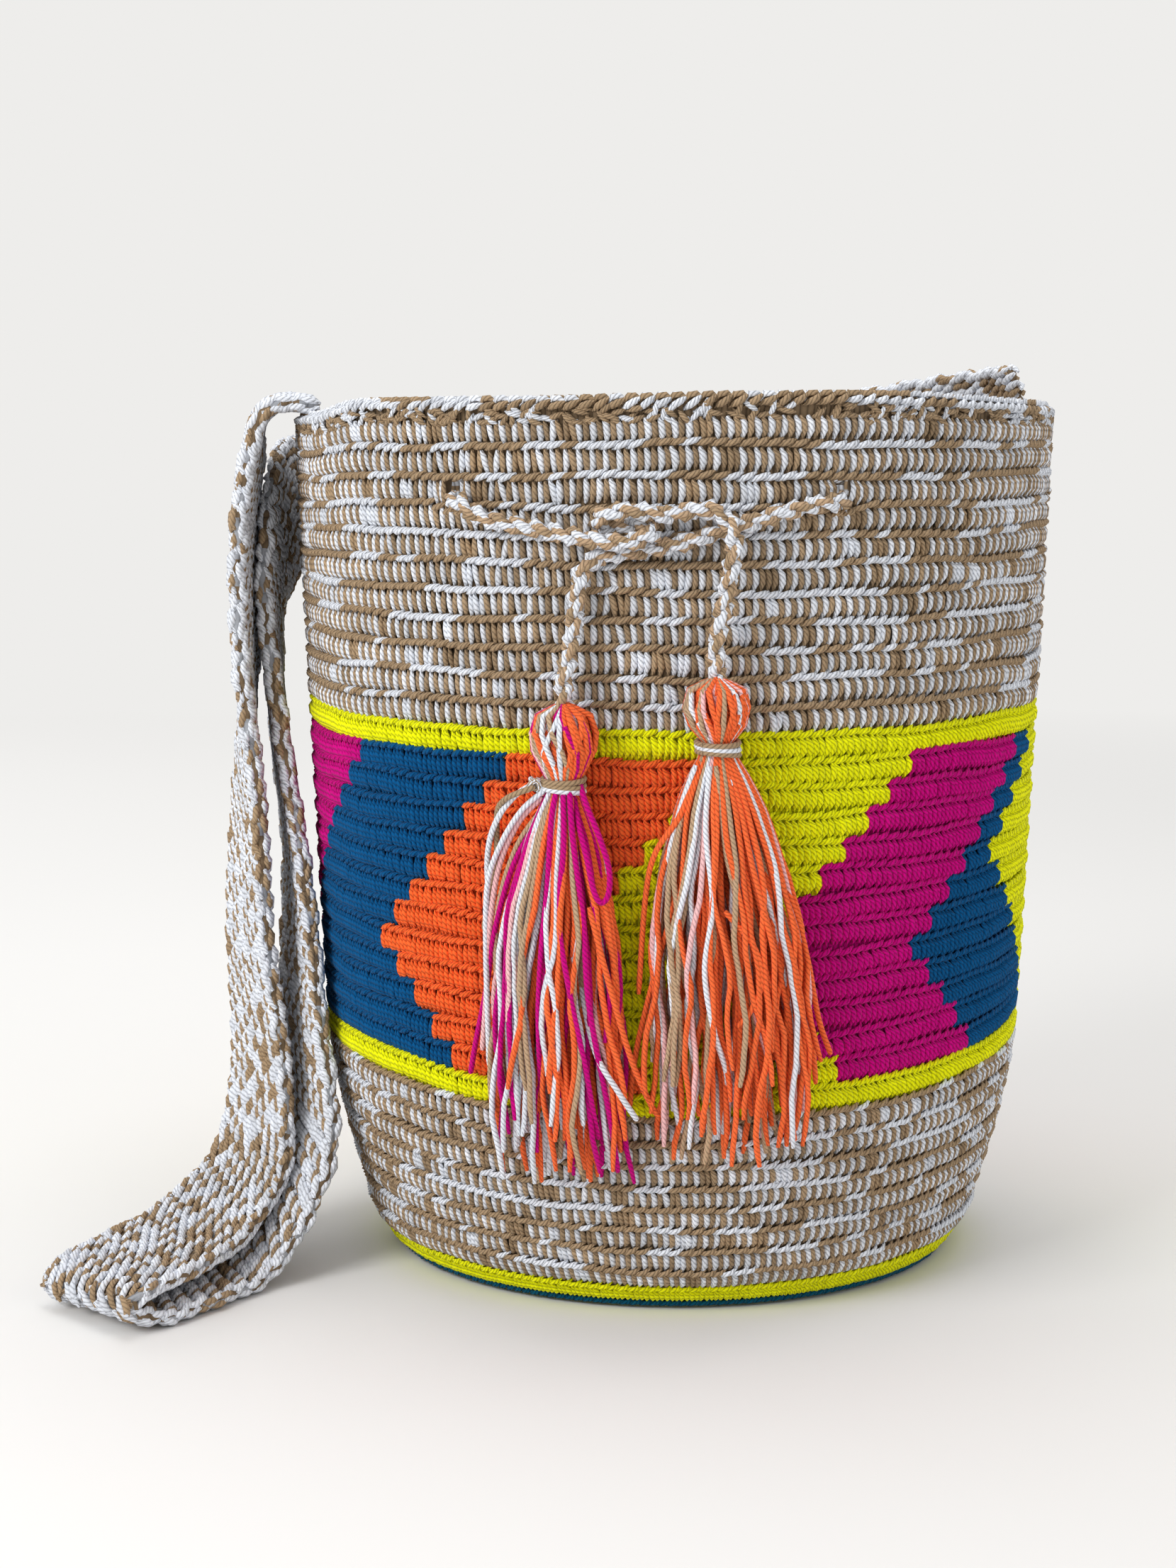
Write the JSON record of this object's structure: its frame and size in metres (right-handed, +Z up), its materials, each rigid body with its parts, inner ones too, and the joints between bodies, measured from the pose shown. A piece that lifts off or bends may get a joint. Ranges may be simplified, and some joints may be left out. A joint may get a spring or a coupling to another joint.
{
  "type": "crocheted bucket bag",
  "caption": "Crocheted cotton bucket bag with a patterned band, a drawstring ending in tassels and a long woven shoulder strap.",
  "frame": {"origin": "middle of the flat underside, on the axis of the round body", "axes": "+Z up out of the mouth, -Y the front with the tassels, +X to the right seen from the front"},
  "size_m": [0.3247, 0.2762, 0.2879],
  "materials": {
    "body_cotton": "crocheted cotton yarn, tan and white with coloured bands",
    "strap_cotton": "woven cotton band, tan and white marl",
    "cord_cotton": "twisted cotton cord, tan and white",
    "tassel_yarn": "loose plied yarn, mostly orange",
    "tie_yarn": "tan and white yarn"
  },
  "bodies": {
    "root": {"bag_body": "body_cotton", "strap": "strap_cotton", "drawstring": "cord_cotton", "tassel_left_bundle": "tassel_yarn", "tassel_right_bundle": "tassel_yarn", "tassel_left_tie": "tie_yarn", "tassel_right_tie": "tie_yarn"}
  },
  "joints": []
}
